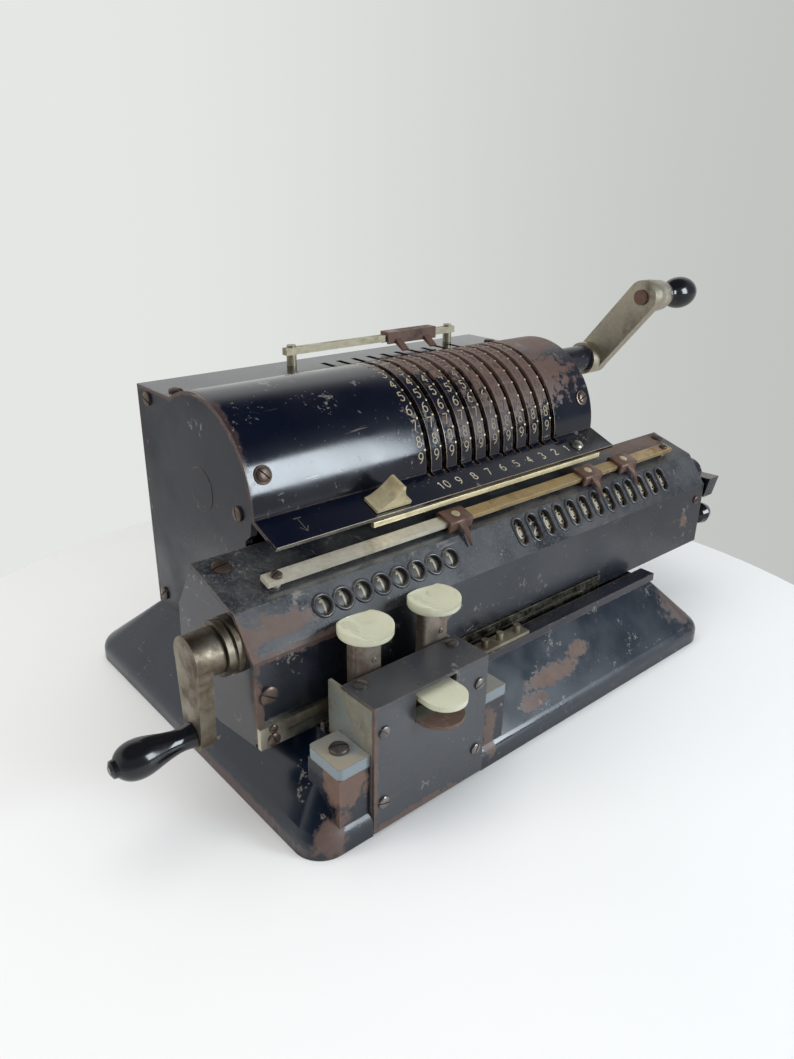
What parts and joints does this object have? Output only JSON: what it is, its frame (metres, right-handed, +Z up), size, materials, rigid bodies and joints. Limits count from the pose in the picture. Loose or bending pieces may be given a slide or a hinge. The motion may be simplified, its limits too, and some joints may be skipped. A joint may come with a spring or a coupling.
{
  "type": "pinwheel calculator",
  "caption": "Hand-cranked pinwheel calculator: slotted setting drum, sliding register carriage with windows, clearing crank and wing, keys and a sloped base.",
  "frame": {"origin": "centre of the base's footprint, at the table", "axes": "+X to the operator's right along the rotor, -Y towards the operator, +Z up"},
  "size_m": [0.396, 0.2032, 0.1739],
  "materials": {
    "japan": "glossy black japanning, worn to brown primer on the edges",
    "grey_paint": "grey enamel, chipped",
    "steel": "plain machined steel with light tarnish",
    "nickel": "old nickel plate, dulled",
    "brass": "aged brass",
    "brown_steel": "steel browned by age",
    "aluminium": "turned aluminium with painted numerals",
    "ivory": "ivory coloured celluloid, dirt in its edge",
    "grip": "black turned grip",
    "rubber": "matte rubber"
  },
  "bodies": {
    "frame": {"base_pan": "japan", "bottom_plate": "brown_steel", "rubber_pads": "rubber", "frame_feet": "grey_paint", "frame_rails": "steel", "left_side_plate": "japan", "right_side_plate": "japan", "main_cover": "japan", "rear_cover": "japan", "cross_bar": "steel", "rotor_bushes": "brass", "crank_sleeve": "japan", "rear_rail": "nickel", "key_block_case": "grey_paint", "key_block_plates": "japan", "stop_plate": "brass", "cover_screws": "nickel", "block_screws": "brown_steel"},
    "rotor": {"rotor_shaft": "steel", "pinwheels": "steel", "rotor_gear": "steel"},
    "crank": {"crank_shaft": "steel", "crank_arm": "nickel", "crank_stud": "brown_steel"},
    "crank_grip": {"crank_knob": "grip"},
    "carry_gear_set": {"carry_gears": "brass"},
    "back_marker": {"rear_marker": "brown_steel"},
    "front_key_body": {"front_key": "ivory"},
    "left_key_body": {"left_key": "ivory"},
    "right_key_body": {"right_key": "ivory"},
    "lock_slide": {"lock_bar": "brass"},
    "carriage": {"carriage_cover": "japan", "window_rims": "nickel", "left_end_plate": "grey_paint", "right_end_plate": "grey_paint", "carriage_shoe": "steel", "carriage_strip": "nickel", "register_axle": "steel", "clearing_bearing": "nickel", "end_knob": "grip", "marker_bar": "nickel", "carriage_screws": "nickel"},
    "result_register": {"result_wheels": "aluminium"},
    "counter_register": {"counter_wheels": "aluminium"},
    "clear_crank": {"clearing_crank": "nickel"},
    "clear_grip": {"clearing_handle": "grip"},
    "clear_wing": {"result_wing": "japan"},
    "marker_1": {"carriage_marker_1": "brown_steel"},
    "marker_2": {"carriage_marker_2": "brown_steel"},
    "marker_3": {"carriage_marker_3": "brown_steel"},
    "lever_01": {"setting_lever_01": "steel"},
    "lever_02": {"setting_lever_02": "steel"},
    "lever_03": {"setting_lever_03": "steel"},
    "lever_04": {"setting_lever_04": "steel"},
    "lever_05": {"setting_lever_05": "steel"},
    "lever_06": {"setting_lever_06": "steel"},
    "lever_07": {"setting_lever_07": "steel"},
    "lever_08": {"setting_lever_08": "steel"},
    "lever_09": {"setting_lever_09": "steel"},
    "lever_10": {"setting_lever_10": "steel"}
  },
  "joints": [
    {"name": "rotor_spin", "type": "hinge", "parent": "frame", "child": "rotor", "pos_m": [0, 0.0162, 0.1055], "axis": [1, 0, 0], "continuous": true},
    {"name": "crank_turn", "type": "hinge", "parent": "frame", "child": "crank", "pos_m": [0, 0.02735, 0.12562], "axis": [1, 0, 0], "continuous": true},
    {"name": "crank_grip_spin", "type": "hinge", "parent": "crank", "child": "crank_grip", "pos_m": [0, -0.0047, 0.16464], "axis": [1, 0, 0], "continuous": true},
    {"name": "carry_gears_turn", "type": "hinge", "parent": "frame", "child": "carry_gear_set", "pos_m": [0, -0.02896, 0.07952], "axis": [1, 0, 0], "continuous": true},
    {"name": "setting_01", "type": "hinge", "parent": "rotor", "child": "lever_01", "pos_m": [0, 0.0162, 0.1055], "axis": [1, 0, 0], "range_deg": [0, 93.15]},
    {"name": "setting_02", "type": "hinge", "parent": "rotor", "child": "lever_02", "pos_m": [0, 0.0162, 0.1055], "axis": [1, 0, 0], "range_deg": [0, 93.15]},
    {"name": "setting_03", "type": "hinge", "parent": "rotor", "child": "lever_03", "pos_m": [0, 0.0162, 0.1055], "axis": [1, 0, 0], "range_deg": [0, 93.15]},
    {"name": "setting_04", "type": "hinge", "parent": "rotor", "child": "lever_04", "pos_m": [0, 0.0162, 0.1055], "axis": [1, 0, 0], "range_deg": [0, 93.15]},
    {"name": "setting_05", "type": "hinge", "parent": "rotor", "child": "lever_05", "pos_m": [0, 0.0162, 0.1055], "axis": [1, 0, 0], "range_deg": [0, 93.15]},
    {"name": "setting_06", "type": "hinge", "parent": "rotor", "child": "lever_06", "pos_m": [0, 0.0162, 0.1055], "axis": [1, 0, 0], "range_deg": [0, 93.15]},
    {"name": "setting_07", "type": "hinge", "parent": "rotor", "child": "lever_07", "pos_m": [0, 0.0162, 0.1055], "axis": [1, 0, 0], "range_deg": [0, 93.15]},
    {"name": "setting_08", "type": "hinge", "parent": "rotor", "child": "lever_08", "pos_m": [0, 0.0162, 0.1055], "axis": [1, 0, 0], "range_deg": [0, 93.15]},
    {"name": "setting_09", "type": "hinge", "parent": "rotor", "child": "lever_09", "pos_m": [0, 0.0162, 0.1055], "axis": [1, 0, 0], "range_deg": [0, 93.15]},
    {"name": "setting_10", "type": "hinge", "parent": "rotor", "child": "lever_10", "pos_m": [0, 0.0162, 0.1055], "axis": [1, 0, 0], "range_deg": [0, 93.15]},
    {"name": "carriage_slide", "type": "slide", "parent": "frame", "child": "carriage", "axis": [1, 0, 0], "range_m": [-0.057, 0]},
    {"name": "result_wheels_turn", "type": "hinge", "parent": "carriage", "child": "result_register", "pos_m": [0, -0.0455, 0.07], "axis": [1, 0, 0], "continuous": true},
    {"name": "counter_wheels_turn", "type": "hinge", "parent": "carriage", "child": "counter_register", "pos_m": [0, -0.0455, 0.07], "axis": [1, 0, 0], "continuous": true},
    {"name": "clearing_crank_turn", "type": "hinge", "parent": "carriage", "child": "clear_crank", "pos_m": [0, -0.0455, 0.07], "axis": [1, 0, 0], "continuous": true},
    {"name": "clearing_handle_spin", "type": "hinge", "parent": "clear_crank", "child": "clear_grip", "pos_m": [0, -0.0455, 0.0385], "axis": [1, 0, 0], "continuous": true},
    {"name": "result_wing_turn", "type": "hinge", "parent": "carriage", "child": "clear_wing", "pos_m": [0, -0.0455, 0.07], "axis": [1, 0, 0], "continuous": true},
    {"name": "carriage_marker_1_slide", "type": "slide", "parent": "carriage", "child": "marker_1", "axis": [1, 0, 0], "range_m": [-0.08, 0.03]},
    {"name": "carriage_marker_2_slide", "type": "slide", "parent": "carriage", "child": "marker_2", "axis": [1, 0, 0], "range_m": [-0.045, 0.006]},
    {"name": "carriage_marker_3_slide", "type": "slide", "parent": "carriage", "child": "marker_3", "axis": [1, 0, 0], "range_m": [-0.008, 0.028]},
    {"name": "rear_marker_slide", "type": "slide", "parent": "frame", "child": "back_marker", "axis": [1, 0, 0], "range_m": [-0.055, 0.008]},
    {"name": "setting_lock_slide", "type": "slide", "parent": "frame", "child": "lock_slide", "axis": [1, 0, 0], "range_m": [0, 0.005]},
    {"name": "left_key_press", "type": "slide", "parent": "frame", "child": "left_key_body", "axis": [0, 0, 1], "range_m": [-0.005, 0], "stiffness_N_per_m": 250, "springref_m": 0.008},
    {"name": "right_key_press", "type": "slide", "parent": "frame", "child": "right_key_body", "axis": [0, 0, 1], "range_m": [-0.005, 0], "stiffness_N_per_m": 250, "springref_m": 0.008},
    {"name": "front_key_press", "type": "slide", "parent": "frame", "child": "front_key_body", "axis": [0, 0, 1], "range_m": [-0.004, 0], "stiffness_N_per_m": 250, "springref_m": 0.008}
  ],
  "couplings": [
    {"joint": "crank_turn", "follows": "rotor_spin", "ratio": -1},
    {"joint": "counter_wheels_turn", "follows": "clearing_crank_turn", "ratio": 1},
    {"joint": "result_wing_turn", "follows": "result_wheels_turn", "ratio": 1}
  ]
}
